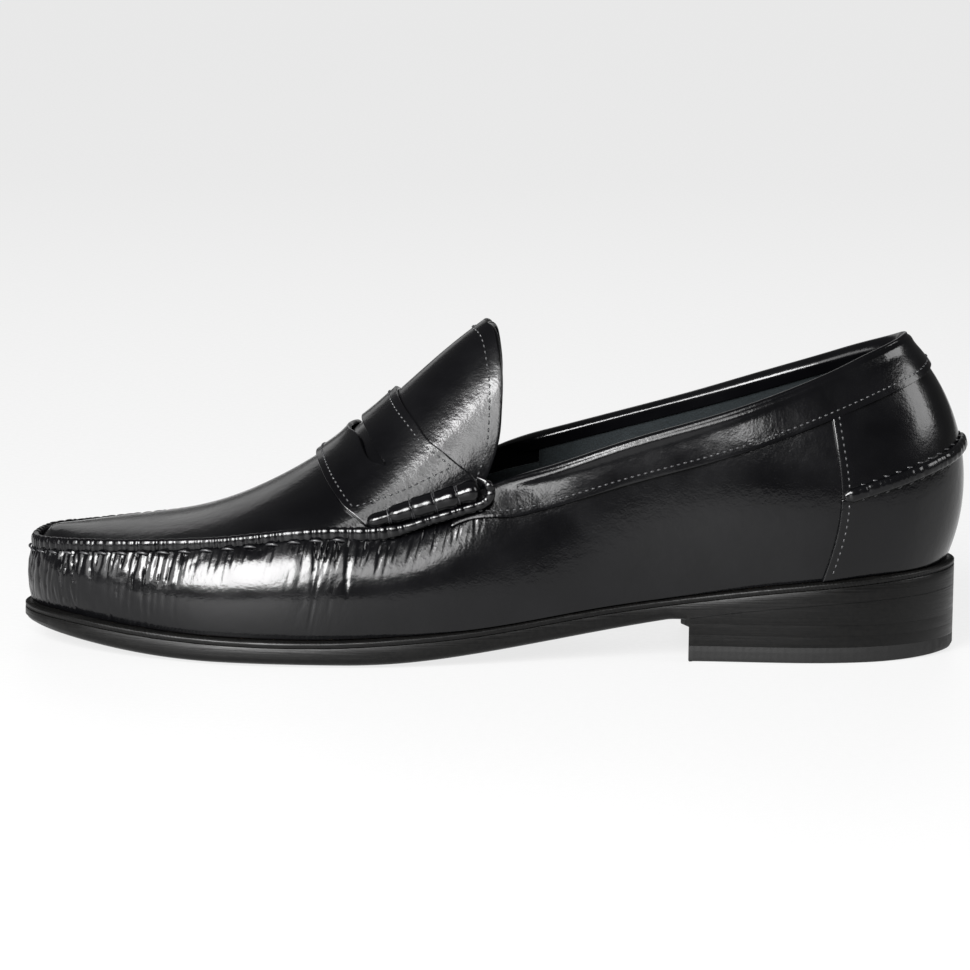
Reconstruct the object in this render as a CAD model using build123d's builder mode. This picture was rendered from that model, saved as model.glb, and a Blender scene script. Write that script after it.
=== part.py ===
"""Penny loafer, left shoe, men's EU 42. Millimetres, +Z up, toe at -X, heel at +X, lateral side at -Y.

The floor is Z=0 and the origin is under the middle of the shoe. The bottom pieces are stacked layers of one plan
outline. The upper pieces are layers of one wall, which is swept round the last from heel to toe, and layers of
one arch, which runs from the toe over the instep.
"""
from build123d import *

import os
from math import asin, cos, pi, sin

os.makedirs("parts", exist_ok=True)

# ---------------------------------------------------------------- driving dimensions
WELT = 2.2  # thickness of the welt on top of it
WELT_WIDTH = 11.0
FEATHER_GAP = 0.25  # the groove between the upper and the welt

LEATHER = 1.4  # upper leather
LINING = 1.0
STIFFENER = 0.7  # toe puff and heel counter
GLUE = 0.06  # between two layers
OVERLAY = 1.2  # collar band
STRAP = 1.6

TOP_LIFT = 5.0  # rubber heel tip
HEEL_LIFT = 3.6  # each of the two flat leather lifts
BREAST_X = 63.0  # heel breast at the lateral corner
BREAST_HOLLOW = 5.0  # how far the breast curves back in the middle

INSOLE = 2.0
HEEL_PAD = 3.0
SOCK = 0.9
FOOTBED_INSET = 6.4  # from the sole's edge to the footbed's edge

NAIL = 1.3
PIPING = 4.0  # height of the piping along the moc seam
ROLL = 3.5  # radius of the beefroll
WRAPS = 4
MOUTH_X = -1.0  # where the tongue ends

# ---------------------------------------------------------------- side profile (x, z)
BALL_BACK = -45.0
BALL_FRONT = -90.0
TOE_SPRING = [(BALL_FRONT, 0), (-106, 0.5), (-121, 1.7), (-136, 3.3), (-155, 5.0)]
SHANK_LINE = [(BALL_BACK, 0), (-32, 0.4), (-3, 3.4), (27, 8.0), (56, 12.7), (86, 16.9), (112, 19.2), (155, 21.2)]
SEAT_LINE = [
    (-155, 11.3), (-136, 11.2), (-122, 10.2), (-102, 8.9), (-82, 8.3), (-51, 8.4), (-28, 9.6),
    (-4, 11.7), (32, 17.0), (63, 21.0), (86, 24.0), (112, 26.6), (155, 29.8),
]

# ---------------------------------------------------------------- plan of the sole (x, y)
SOLE_PLAN = [
    (-151.7, 2), (-146, -14), (-134, -27), (-112, -39.5), (-88, -47.5), (-58, -50.8), (-28, -49.2), (27, -37.5),
    (62, -32.8), (105, -33.6), (130, -26.5), (144, -14), (148.8, 0),
    (144, 14), (130, 26.5), (105, 33), (62, 28.2), (27, 26.8), (-3, 32.5), (-32, 43.5), (-61, 49.8), (-86, 50.6),
    (-108, 46.5), (-134, 30), (-147, 15),
]

# ---------------------------------------------------------------- wall stations
# Each is the foot of the wall (x, y), its top edge (x, y, z) and how far it bulges between them. They run from
# the back of the heel forward to the toe. The top edge is the topline as far as x=0 and the moc seam beyond it.
HEEL = [((146.3, 0), (129.5, 0, 100.2), 13.0)]
LATERAL = [
    ((142.3, -13.5), (126.5, -8, 98.9), 11.5),
    ((130, -25), (118, -15.5, 95.4), 8.0),
    ((107, -31), (105.5, -22, 90.2), 5.8),
    ((88, -31.5), (86, -27.5, 82.8), 4.6),
    ((65, -31.5), (66, -30, 76.3), 4.2),
    ((38, -34.5), (40, -31.3, 68.6), 4.5),
    ((12, -40.5), (15, -32.5, 60.2), 5.0),
    ((-12, -45.2), (-4, -35, 54.4), 5.0),
    ((-35, -47.6), (-24, -38.8, 44.2), 4.8),
    ((-60, -48.0), (-54, -42.0, 41.4), 4.8),
    ((-92, -43.7), (-86, -39.2, 37.6), 4.2),
    ((-108, -38.2), (-106, -35.4, 35.9), 3.6),
    ((-123, -30.8), (-122, -29.6, 34.6), 3.2),
    ((-136.5, -21.0), (-136, -20.6, 33.1), 2.5),
    ((-145.8, -10.0), (-145.4, -10.2, 31.8), 1.9),
]
TOE = [((-149.6, 1.0), (-148.8, 0.6, 31.3), 1.6)]
MEDIAL = [
    ((-145.8, 12.5), (-145.4, 11.4, 32.3), 1.9),
    ((-136.5, 24.2), (-136, 21.8, 33.1), 2.5),
    ((-123, 34.5), (-122, 30.8, 34.6), 3.2),
    ((-108, 42.8), (-106, 36.6, 35.9), 3.6),
    ((-92, 47.0), (-86, 40.2, 37.6), 4.2),
    ((-60, 46.9), (-54, 42.0, 41.4), 4.8),
    ((-35, 41.6), (-24, 38.8, 44.4), 4.8),
    ((-12, 34.6), (-4, 35.0, 55.2), 5.0),
    ((12, 28.6), (15, 32.5, 62.0), 5.0),
    ((38, 25.6), (40, 31.3, 69.0), 4.5),
    ((65, 26.8), (66, 30, 76.5), 4.2),
    ((88, 30.0), (86, 27.5, 83.0), 4.6),
    ((107, 31), (105.5, 22, 89.8), 5.8),
    ((130, 25), (118, 15.5, 94.6), 8.0),
    ((142.3, 13.5), (126.5, 8, 98.2), 11.5),
]
RING = HEEL + LATERAL + TOE + MEDIAL
SEAM = 3  # the rear seams lie at this station, counted from the heel each way
COLLAR_END = 8  # the collar band runs this far forward
STEPS = 4  # sections from one station to the next

# ---------------------------------------------------------------- arch stations
# Each is x, the middle's y, the half width, the edge's height and the middle's height.
ARCH = [
    (-146.0, 0.6, 4.0, 31.4, 32.3),
    (-143.5, 0.6, 9.0, 32.2, 34.9),
    (-138.0, 0.6, 16.0, 32.8, 36.1),
    (-125.0, 0.6, 25.3, 34.0, 37.3),
    (-109.0, 0.6, 31.9, 35.2, 38.9),
    (-92.0, 0.5, 36.1, 36.6, 42.4),
    (-76.0, 0.3, 37.9, 38.2, 48.8),
    (-61.0, 0.1, 38.9, 39.8, 57.2),
    (-46.0, 0.0, 38.5, 41.6, 68.8),
    (-31.0, 0.0, 36.2, 44.2, 82.0),
    (-14.0, 0.0, 32.2, 50.0, 96.2),
    (MOUTH_X, 0.0, 29.4, 54.6, 105.8),
]
ARCH_STEPS = 3  # sections from one arch station to the next
STRAP_FRONT = [(-50.0, -34.2), (-53.1, -28.4), (-56.1, -18.0), (-57.6, 0)]
STRAP_REAR = [(-12.0, -30.6), (-20.4, -28.0), (-24.2, -25.1), (-28.6, -18.6), (-32.2, 0)]
STRAP_SIDE = 36.5  # where the strap runs into the beefrolls
SLOT_TIP = (-35.0, 29.6)  # one end of the slot in the strap
SLOT_REAR = [(-37.2, 26.4), (-39.5, 21.3), (-43.0, 0)]
SLOT_FRONT = [(-38.7, 27.8), (-40.9, 25.2), (-42.1, 21.8), (-44.2, 12.8), (-46.6, 0)]
ROLL_ENDS = [(-39.5, 41.4, 45.4), (-4.0, 40.2, 57.0)]


# ---------------------------------------------------------------- shared shapes
def height(line, x):
    """The height of a side-profile line at x, as a smooth curve through its points."""
    points = sorted(line)
    i = 0
    while i < len(points) - 2 and points[i + 1][0] < x:
        i += 1
    slopes = []
    for k in (i, i + 1):
        before, after = points[max(k - 1, 0)], points[min(k + 1, len(points) - 1)]
        slopes.append((after[1] - before[1]) / (after[0] - before[0]))
    (x0, z0), (x1, z1) = points[i], points[i + 1]
    t = (x - x0) / (x1 - x0)
    run = x1 - x0
    return (
        z0 * (2 * t**3 - 3 * t**2 + 1)
        + slopes[0] * run * (t**3 - 2 * t**2 + t)
        + z1 * (3 * t**2 - 2 * t**3)
        + slopes[1] * run * (t**3 - t**2)
    )


def seat(x, drop=0.0):
    """The top of the welt at x, or a layer that far below it."""
    return height(SEAT_LINE, x) - drop


def side_line(drop, start=-156, end=156, step=12):
    """A line of the side profile parallel to the seat."""
    count = round((end - start) / step)
    return [(start + (end - start) * k / count, seat(start + (end - start) * k / count, drop)) for k in range(count + 1)]


def band(drop_top, drop_foot, start=-156, end=156):
    """The face between two lines parallel to the seat, in the XZ plane."""
    top = side_line(drop_top, start, end)
    foot = side_line(drop_foot, start, end)
    with BuildLine() as outline:
        Spline(*top)
        Line(top[-1], foot[-1])
        Spline(*foot)
        Line(foot[0], top[0])
    make_face(outline.edges())


def sole_plan(inset=0.0, mode=Mode.ADD):
    """The plan of the sole, or of a layer inset from its edge."""
    outline = []
    for index, (x, y) in enumerate(SOLE_PLAN):
        before, after = SOLE_PLAN[index - 1], SOLE_PLAN[(index + 1) % len(SOLE_PLAN)]
        inward = Vector(before[1] - after[1], after[0] - before[0]).normalized()
        outline.append((x + inset * inward.X, y + inset * inward.Y))
    with BuildLine() as edge:
        Spline(*outline, periodic=True)
    make_face(edge.edges(), mode=mode)


def heel_plan():
    """The plan of the heel: the back of the sole, cut off by the hollow breast."""
    sole_plan()
    with BuildLine() as outline:
        ThreePointArc((BREAST_X, -60), (BREAST_X + BREAST_HOLLOW, -2), (BREAST_X - 4, 60))
        Line((BREAST_X - 4, 60), (170, 60))
        Line((170, 60), (170, -60))
        Line((170, -60), (BREAST_X, -60))
    make_face(outline.edges(), mode=Mode.INTERSECT)


def blend(before, start, finish, after, spans, t):
    """A smooth curve from start to finish that passes by both neighbours, whatever their spacing."""
    first, middle, last = spans
    leave = (finish - before) / (first + middle) * middle
    arrive = (after - start) / (middle + last) * middle
    return (
        start * (2 * t**3 - 3 * t**2 + 1)
        + leave * (t**3 - 2 * t**2 + t)
        + finish * (3 * t**2 - 2 * t**3)
        + arrive * (t**3 - t**2)
    )


def ring_at(where):
    """The foot, top and bulge of the wall at any place between the stations."""
    index = int(where // 1)
    around = [RING[k % len(RING)] for k in range(index - 1, index + 3)]
    feet = [Vector(foot[0], foot[1], 0) for foot, _, _ in around]
    tops = [Vector(*top) for _, top, _ in around]
    bulges = [bulge for _, _, bulge in around]
    spans = [(feet[k + 1] - feet[k]).length for k in range(3)]
    rest = where - index
    return blend(*feet, spans, rest), blend(*tops, spans, rest), blend(*bulges, spans, rest)


def station(where):
    """The wall at a station: its foot, and its plane with X up the wall and Y outwards."""
    foot, top, bulge = ring_at(where)
    ahead, behind = ring_at(where + 0.2), ring_at(where - 0.2)
    foot = Vector(foot.X, foot.Y, seat(foot.X) + FEATHER_GAP)
    up = top - foot
    along = (ahead[0] - behind[0]) + (ahead[1] - behind[1])
    outward = up.cross(Vector(along.X, along.Y, 0))
    return Plane(origin=foot, x_dir=up, z_dir=up.cross(outward)), up.length, bulge


def between(first, last):
    """The places from one station to another at which a layer gets a section."""
    steps = round((last - first) * STEPS)
    return [first + (last - first) * k / steps for k in range(steps + 1)]


def wall_point(length, bulge, h, depth):
    """A point of the wall's section: h runs from 0 at the foot to 1 at the top, depth is outwards."""
    radius = (length**2 / 4 + bulge**2) / (2 * bulge)
    half = asin(length / 2 / radius)
    turn = half * (2 * h - 1)
    return (length / 2 + (radius + depth) * sin(turn), bulge - radius + (radius + depth) * cos(turn))


def wall(first, last, inner, outer, low=0.0, high=1.0):
    """One layer of the wall from station to station. low and high are heights, or functions of the station."""
    sections = []
    for where in between(first, last):
        plane, length, bulge = station(where)
        h0 = low(where) if callable(low) else low
        h1 = high(where) if callable(high) else high
        middle = (h0 + h1) / 2
        with BuildSketch(plane) as section:
            with BuildLine():
                ThreePointArc(*[wall_point(length, bulge, h, outer) for h in (h0, middle, h1)])
                Line(wall_point(length, bulge, h1, outer), wall_point(length, bulge, h1, inner))
                ThreePointArc(*[wall_point(length, bulge, h, inner) for h in (h1, middle, h0)])
                Line(wall_point(length, bulge, h0, inner), wall_point(length, bulge, h0, outer))
            make_face()
        sections.append(section.sketch)
    loft(sections)


def from_heel(where):
    """How many stations lie between this place and the back of the heel."""
    return min(where % len(RING), -where % len(RING))


def kicker_top(where):
    """How high up the wall the kicker's seam lies."""
    return 0.5 - 0.034 * from_heel(where)


def collar_foot(where):
    """How high up the wall the collar band starts."""
    return 0.86 - 0.13 * min(from_heel(where) / COLLAR_END, 1) ** 0.6


def arch_point(half, edge, crown, turn, lift):
    """A point of the arch's section. turn runs from -1 at the lateral edge to 1, lift is outwards."""
    power = 0.78
    angle = turn * pi / 2
    y, z = half * sin(angle), edge + (crown - edge) * max(cos(angle), 0.0) ** (2 * power)
    slope = -(crown - edge) / half * 2 * power * max(cos(angle), 0.3) ** (2 * power - 2) * sin(angle)
    size = (1 + slope**2) ** 0.5
    return (y - slope / size * lift, z + lift / size)


def arch_rows(first, last):
    """The arch's stations from first to last, with others between them."""
    rows = []
    for index in range(first, last - 1):
        near = [max(index - 1, 0), index, index + 1, min(index + 2, len(ARCH) - 1)]
        around = [ARCH[k] for k in near]
        spans = [max(around[k + 1][0] - around[k][0], 1e-6) for k in range(3)]
        for step in range(ARCH_STEPS):
            rows.append([blend(*column, spans, step / ARCH_STEPS) for column in zip(*around)])
    rows.append(ARCH[last - 1])
    return rows


def arch(inner, outer, first=0, last=len(ARCH), reach=1.0):
    """One layer of the arch between two of its stations."""
    turns = [reach * k / 6 for k in range(-6, 7)]
    sections = []
    for x, middle, half, edge, crown in arch_rows(first, last):
        outside = [arch_point(half, edge, crown, turn, outer) for turn in turns]
        inside = [arch_point(half, edge, crown, turn, inner) for turn in reversed(turns)]
        with BuildSketch(Plane.YZ.offset(x).shift_origin((x, middle, 0))) as section:
            with BuildLine():
                Spline(*outside)
                Line(outside[-1], inside[0])
                Spline(*inside)
                Line(inside[-1], outside[0])
            make_face()
        sections.append(section.sketch)
    loft(sections)


def bead(first, last, h, depth, tall, wide):
    """A rolled edge along the wall, at height h (or a function of the station)."""
    sections = []
    for where in between(first, last):
        plane, length, bulge = station(where)
        up, out = wall_point(length, bulge, h(where) if callable(h) else h, depth)
        with BuildSketch(plane) as section:
            with BuildLine():
                ThreePointArc((up - tall, out), (up, out + wide), (up + tall, out))
                ThreePointArc((up + tall, out), (up, out - wide), (up - tall, out))
            make_face()
        sections.append(section.sketch)
    loft(sections, ruled=True)


def roll_axis(side):
    """The axis of a beefroll, lateral at side=-1 and medial at side=1, and its length."""
    front, rear = [Vector(x, side * y, z) for x, y, z in ROLL_ENDS]
    return Axis(front, rear - front), (rear - front).length


def nail_places():
    """The places of the heel nails in plan."""
    return Locations((82, -16), (82, 13), (104, -20), (104, 20), (126, 0))


def save(piece, name):
    """Name a piece and write it to its own file."""
    piece.part.label = name
    export_step(piece.part, f"parts/{name}.step")


# ---------------------------------------------------------------- heel stack
with BuildPart() as top_lift:
    with BuildSketch():
        heel_plan()
    extrude(amount=TOP_LIFT)
    fillet(top_lift.faces().sort_by(Axis.Z)[0].edges(), 0.6)
save(top_lift, "top_lift")

for number in (1, 2):
    with BuildPart() as heel_lift:
        with BuildSketch(Plane.XY.offset(TOP_LIFT + HEEL_LIFT * (number - 1))):
            heel_plan()
            with nail_places():
                Circle(NAIL, mode=Mode.SUBTRACT)
        extrude(amount=HEEL_LIFT)
    save(heel_lift, f"heel_lift_{number}")

stack_top = TOP_LIFT + 2 * HEEL_LIFT
with BuildPart() as heel_wedge:
    with BuildSketch(Plane.XY.offset(stack_top)):
        heel_plan()
        with nail_places():
            Circle(NAIL, mode=Mode.SUBTRACT)
    extrude(amount=15)
    with BuildSketch(Plane.XZ):
        with BuildLine():
            Spline(*SHANK_LINE[4:])
            Line(SHANK_LINE[-1], (155, stack_top))
            Line((155, stack_top), (56, stack_top))
            Line((56, stack_top), SHANK_LINE[4])
        make_face()
    extrude(amount=70, both=True, mode=Mode.INTERSECT)
save(heel_wedge, "heel_wedge")

with BuildPart() as heel_nails:
    with BuildSketch(Plane.XY.offset(TOP_LIFT + 0.3)):
        with nail_places():
            Circle(NAIL - GLUE)
    extrude(amount=13.5)
save(heel_nails, "heel_nails")

# ---------------------------------------------------------------- outsole, welt and what lies between
with BuildPart() as outsole:
    with BuildSketch():
        sole_plan()
    extrude(amount=60)
    with BuildSketch(Plane.XZ):
        with BuildLine():
            Spline(*side_line(WELT))
            Line((156, seat(156, WELT)), SHANK_LINE[-1])
            Spline(*reversed(SHANK_LINE[4:]))
            Spline(*SHANK_LINE[:5], tangents=[(1, 0), (1, 0.155)])
            Line((BALL_BACK, 0), (BALL_FRONT, 0))
            Spline(*TOE_SPRING, tangents=[(-1, 0), (-1, 0.08)])
            Line(TOE_SPRING[-1], (-156, seat(-156, WELT)))
        make_face()
    extrude(amount=70, both=True, mode=Mode.INTERSECT)
    with BuildSketch(Plane.XY.offset(TOP_LIFT)):
        with nail_places():
            Circle(NAIL)
    extrude(amount=14, mode=Mode.SUBTRACT)
save(outsole, "outsole")

with BuildPart() as welt:
    with BuildSketch():
        sole_plan()
        sole_plan(WELT_WIDTH, mode=Mode.SUBTRACT)
    extrude(amount=60)
    with BuildSketch(Plane.XZ):
        band(0, WELT)
    extrude(amount=70, both=True, mode=Mode.INTERSECT)
save(welt, "welt")

with BuildPart() as shank:
    with BuildSketch():
        with Locations((35, 0)):
            SlotOverall(112, 12)
    extrude(amount=60)
    with BuildSketch(Plane.XZ):
        band(0.5, 1.5)
    extrude(amount=20, both=True, mode=Mode.INTERSECT)
save(shank, "shank")

with BuildPart() as cork_filler:
    with BuildSketch():
        sole_plan(WELT_WIDTH + GLUE)
    extrude(amount=60)
    with BuildSketch(Plane.XZ):
        band(0, WELT)
    extrude(amount=70, both=True, mode=Mode.INTERSECT)
    add(shank.part, mode=Mode.SUBTRACT)
save(cork_filler, "cork_filler")

with BuildPart() as insole:
    with BuildSketch():
        sole_plan(FOOTBED_INSET)
    extrude(amount=60)
    with BuildSketch(Plane.XZ):
        band(-INSOLE, 0)
    extrude(amount=70, both=True, mode=Mode.INTERSECT)
save(insole, "insole_board")


def footbed(x):
    """The top of the insole board, or of the heel pad where it lies on the board."""
    t = min(max((x - 46) / 24, 0), 1)
    return seat(x, -INSOLE) + HEEL_PAD * t * t * (3 - 2 * t)


with BuildPart() as heel_pad:
    with BuildSketch():
        sole_plan(FOOTBED_INSET + 1.5)
    extrude(amount=60)
    pad_x = range(54, 151, 8)
    with BuildSketch(Plane.XZ):
        with BuildLine():
            Spline(*[(x, footbed(x)) for x in pad_x])
            Line((150, footbed(150)), (150, seat(150, -INSOLE)))
            Spline(*[(x, seat(x, -INSOLE)) for x in reversed(pad_x)])
            Line((54, seat(54, -INSOLE)), (54, footbed(54)))
        make_face()
    extrude(amount=70, both=True, mode=Mode.INTERSECT)
save(heel_pad, "heel_pad")

with BuildPart() as sock_liner:
    with BuildSketch():
        sole_plan(FOOTBED_INSET + 0.3)
    extrude(amount=60)
    sock_x = range(-156, 157, 6)
    with BuildSketch(Plane.XZ):
        with BuildLine():
            Spline(*[(x, footbed(x) + GLUE) for x in sock_x])
            Line((156, footbed(156) + GLUE), (156, footbed(156) + SOCK))
            Spline(*[(x, footbed(x) + SOCK) for x in reversed(sock_x)])
            Line((-156, footbed(-156) + SOCK), (-156, footbed(-156) + GLUE))
        make_face()
    extrude(amount=70, both=True, mode=Mode.INTERSECT)
save(sock_liner, "sock_liner")

# ---------------------------------------------------------------- wall of the upper
stiff = LEATHER + 2 * GLUE
lined = stiff + STIFFENER + 3 * GLUE
lining_back = lined + LINING
toe = len(HEEL) + len(LATERAL)
ring = len(RING)


def vamp_top(where):
    """The vamp reaches the topline behind the beefroll, and stops under the piping in front of it."""
    _, length, _ = station(where)
    under = min(max(from_heel(where) - COLLAR_END, 0), 1)
    return 1 - under * (PIPING / 2 + GLUE) / length


with BuildPart() as vamp:
    wall(SEAM, ring - SEAM, -LEATHER, 0, high=vamp_top)
save(vamp, "vamp")

with BuildPart() as moc_piping:
    bead(COLLAR_END + 1.75, ring - COLLAR_END - 1.75, 1.0, -0.6, PIPING / 2, 1.5)
save(moc_piping, "moc_seam_piping")

with BuildPart() as kicker:
    wall(-SEAM, SEAM, -LEATHER, 0, high=kicker_top)
save(kicker, "kicker")

with BuildPart() as back_panel:
    wall(-SEAM, SEAM, -LEATHER, 0, low=lambda where: kicker_top(where) + 0.002)
save(back_panel, "back_panel")

with BuildPart() as kicker_piping:
    bead(-SEAM, SEAM, kicker_top, 0.85, 1.5, 0.75)
save(kicker_piping, "kicker_piping")

with BuildPart() as toe_puff:
    wall(toe - 4, toe + 4, -stiff - STIFFENER, -stiff, high=0.8)
save(toe_puff, "toe_puff")

with BuildPart() as heel_counter:
    wall(-SEAM - 2, SEAM + 2, -stiff - STIFFENER, -stiff, high=0.62)
save(heel_counter, "heel_counter")

with BuildPart() as vamp_lining:
    wall(COLLAR_END - 1, ring - COLLAR_END + 1, -lining_back, -lined, low=0.02, high=0.82)
save(vamp_lining, "vamp_lining")

with BuildPart() as lateral_lining:
    wall(SEAM, COLLAR_END - 1, -lining_back, -lined, low=0.02, high=0.985)
save(lateral_lining, "quarter_lining_lateral")

with BuildPart() as medial_lining:
    wall(ring - COLLAR_END + 1, ring - SEAM, -lining_back, -lined, low=0.02, high=0.985)
save(medial_lining, "quarter_lining_medial")

with BuildPart() as heel_lining:
    wall(-SEAM, SEAM, -lining_back, -lined, low=0.02, high=0.985)
save(heel_lining, "heel_lining")

# ---------------------------------------------------------------- collar band, folded over the topline
outer = GLUE + OVERLAY
inner = lining_back + GLUE + OVERLAY
folds = []
for where in between(-COLLAR_END, COLLAR_END):
    plane, length, bulge = station(where)
    foot = collar_foot(where)
    hem = 1 - 4.0 / length
    inside = wall_point(length, bulge, 1, -inner)
    outside = wall_point(length, bulge, 1, outer)
    under = [wall_point(length, bulge, 1, -inner + OVERLAY), wall_point(length, bulge, 1, outer - OVERLAY)]
    with BuildSketch(plane) as fold:
        with BuildLine():
            ThreePointArc(*[wall_point(length, bulge, h, outer) for h in (foot, (foot + 1) / 2, 1)])
            ThreePointArc(outside, (length + 2.4, (inside[1] + outside[1]) / 2), inside)
            Line(inside, wall_point(length, bulge, hem, -inner))
            Line(wall_point(length, bulge, hem, -inner), wall_point(length, bulge, hem, -inner + OVERLAY))
            Line(wall_point(length, bulge, hem, -inner + OVERLAY), under[0])
            ThreePointArc(under[0], (length + 1.2, (under[0][1] + under[1][1]) / 2), under[1])
            ThreePointArc(*[wall_point(length, bulge, h, outer - OVERLAY) for h in (1, (foot + 1) / 2, foot)])
            Line(wall_point(length, bulge, foot, outer - OVERLAY), wall_point(length, bulge, foot, outer))
        make_face()
    folds.append(fold.sketch)
with BuildPart() as collar_band:
    loft(folds)
save(collar_band, "collar_band")

# ---------------------------------------------------------------- plug and tongue, and their linings
with BuildPart() as plug:
    arch(-LEATHER, 0)
save(plug, "plug")

with BuildPart() as plug_lining:
    arch(-LEATHER - 4 * GLUE - LINING, -LEATHER - 4 * GLUE, last=9, reach=0.9)
save(plug_lining, "plug_lining")

with BuildPart() as tongue_lining:
    arch(-LEATHER - 4 * GLUE - LINING, -LEATHER - 4 * GLUE, first=8, reach=0.9)
save(tongue_lining, "tongue_lining")

# ---------------------------------------------------------------- strap with its slot, and the beefrolls
with BuildPart() as saddle_strap:
    arch(2 * GLUE, 2 * GLUE + STRAP, first=5)
    with BuildSketch():
        with BuildLine():
            Spline(*STRAP_FRONT, tangents=[(-0.5, 0.86), (0, 1)])
            Line(STRAP_FRONT[0], (-47.7, -STRAP_SIDE))
            Line((-47.7, -STRAP_SIDE), (-10.5, -STRAP_SIDE))
            Line((-10.5, -STRAP_SIDE), STRAP_REAR[0])
            Spline(*STRAP_REAR, tangents=[(-0.98, 0.2), (0, 1)])
            Line(STRAP_REAR[-1], STRAP_FRONT[-1])
        make_face()
        mirror(about=Plane.XZ)
    extrude(amount=130, mode=Mode.INTERSECT)
    with BuildSketch():
        with BuildLine():
            Spline(SLOT_TIP, *SLOT_REAR)
            Spline(SLOT_TIP, *SLOT_FRONT)
            Line(SLOT_FRONT[-1], SLOT_REAR[-1])
        make_face()
        mirror(about=Plane.XZ)
    extrude(amount=130, mode=Mode.SUBTRACT)
save(saddle_strap, "saddle_strap")

waist = ROLL - 0.7
for side, name in ((-1, "lateral"), (1, "medial")):
    axis, length = roll_axis(side)
    along = Plane(origin=axis.position, x_dir=axis.direction, z_dir=axis.direction.cross(Vector(0, 0, 1)))
    pitch = length / (WRAPS + 1)
    band_half = 0.75
    with BuildPart() as roll:
        with BuildSketch(along):
            with BuildLine():
                for lobe in range(WRAPS + 1):
                    start = lobe * pitch + (band_half if lobe else 0)
                    finish = (lobe + 1) * pitch - (band_half if lobe < WRAPS else 0)
                    ThreePointArc((start, waist), ((start + finish) / 2, ROLL), (finish, waist))
                    if lobe < WRAPS:
                        Line((finish, waist), (finish + 2 * band_half, waist))
                Line((length, waist), (length, 0))
                Line((length, 0), (0, 0))
                Line((0, 0), (0, waist))
            make_face()
        revolve(axis=axis)
    save(roll, f"beefroll_{name}")
    with BuildPart() as wraps:
        with BuildSketch(along):
            with Locations([(pitch * (wrap + 1), waist + 0.02 + 0.25) for wrap in range(WRAPS)]):
                Rectangle(2 * band_half - 0.1, 0.5)
        revolve(axis=axis)
    save(wraps, f"beefroll_thread_{name}")
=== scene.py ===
"""The looks of the penny loafer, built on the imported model.

Lengths are in millimetres of the shoe as drawn and become metres through UNIT when a mesh is made. The toe
points to -X, the lateral side to -Y, and the floor is Z=0. The upper is two surfaces: the wall, which runs
round the shoe from the back of the heel, and the arch, which runs from the toe over the instep to the end of
the tongue.
"""

import math

import bmesh
import bpy
import numpy as np
from mathutils import Euler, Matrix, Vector


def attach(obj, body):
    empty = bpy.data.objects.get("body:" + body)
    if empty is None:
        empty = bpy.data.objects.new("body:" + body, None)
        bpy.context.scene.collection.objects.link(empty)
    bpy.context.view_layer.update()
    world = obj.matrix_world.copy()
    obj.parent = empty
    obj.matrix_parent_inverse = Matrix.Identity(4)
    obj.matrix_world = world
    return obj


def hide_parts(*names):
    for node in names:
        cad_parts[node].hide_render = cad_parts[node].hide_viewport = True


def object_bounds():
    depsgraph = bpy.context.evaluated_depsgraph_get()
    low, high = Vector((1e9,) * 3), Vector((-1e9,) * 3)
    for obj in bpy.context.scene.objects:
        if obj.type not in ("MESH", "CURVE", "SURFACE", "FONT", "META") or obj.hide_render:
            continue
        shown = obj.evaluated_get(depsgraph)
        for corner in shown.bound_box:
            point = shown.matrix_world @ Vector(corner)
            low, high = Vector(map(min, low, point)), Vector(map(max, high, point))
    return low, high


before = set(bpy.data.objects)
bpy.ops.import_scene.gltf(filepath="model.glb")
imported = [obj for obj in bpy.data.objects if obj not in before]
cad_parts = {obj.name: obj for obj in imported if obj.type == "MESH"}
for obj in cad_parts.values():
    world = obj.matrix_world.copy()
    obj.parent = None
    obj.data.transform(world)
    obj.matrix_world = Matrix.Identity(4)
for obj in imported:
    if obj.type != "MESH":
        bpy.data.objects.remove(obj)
CAD_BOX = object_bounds()
UNIT = (CAD_BOX[1][0] - CAD_BOX[0][0]) / 303.92  # metres for one millimetre as drawn

# ---- driving dimensions
LEATHER = 1.4
LINING = 0.8
LINED = 1.7  # depth at which the lining starts
OVERLAY = 1.2  # collar band
STRAP = 1.5
WELT = 2.2
WELT_WIDTH = 11.0
FEATHER_GAP = 0.25
FOOTBED_INSET = 6.2
FOOTBED = 2.9  # insole board and sock liner
BOARD = 2.02  # insole board, and the gap above it
SOCK = 0.85
PAD = 3.0
PAD_RAMP = (46, 24)  # x where the footbed starts to rise over the pad, and the length of the rise
PAD_FRONT = 53
HEM = 3.8  # how far the collar band turns down inside
PIPING = (2.35, 1.5)  # half height and half thickness of the moccasin seam's piping
WHIP_PITCH = 7.0  # stitches of the moccasin seam
CREASE_PITCH = 2.6  # creases in a piping
PIPING_STEP, KICKER_STEP = 0.42, 0.4  # between the sections of the two pipings
STITCH_PITCH = 2.15
THREAD = 0.28  # radius of the sewing thread
WHIP_THREAD, WRAP_THREAD = 0.42, 0.32  # radii of the moccasin seam's thread, and of the kicker's and rolls'
ROLL = 3.7
LOBES = 5
WHEEL_PITCH = 1.25  # marks of the wheel on the welt's edge
COLLAR_INSET = 2.1  # rows of stitches, from the edges that they follow
TONGUE_INSET = 3.6
STRAP_INSET = 2.0
STRAP_GAP = 0.1  # under the strap
UNDER_COLLAR = 0.985  # top of what the collar band folds over, as a share of the wall
LIP, LIP_BELOW, LIP_WIDE = 0.5, 1.2, 1.5  # the topline's rolled edge

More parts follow.
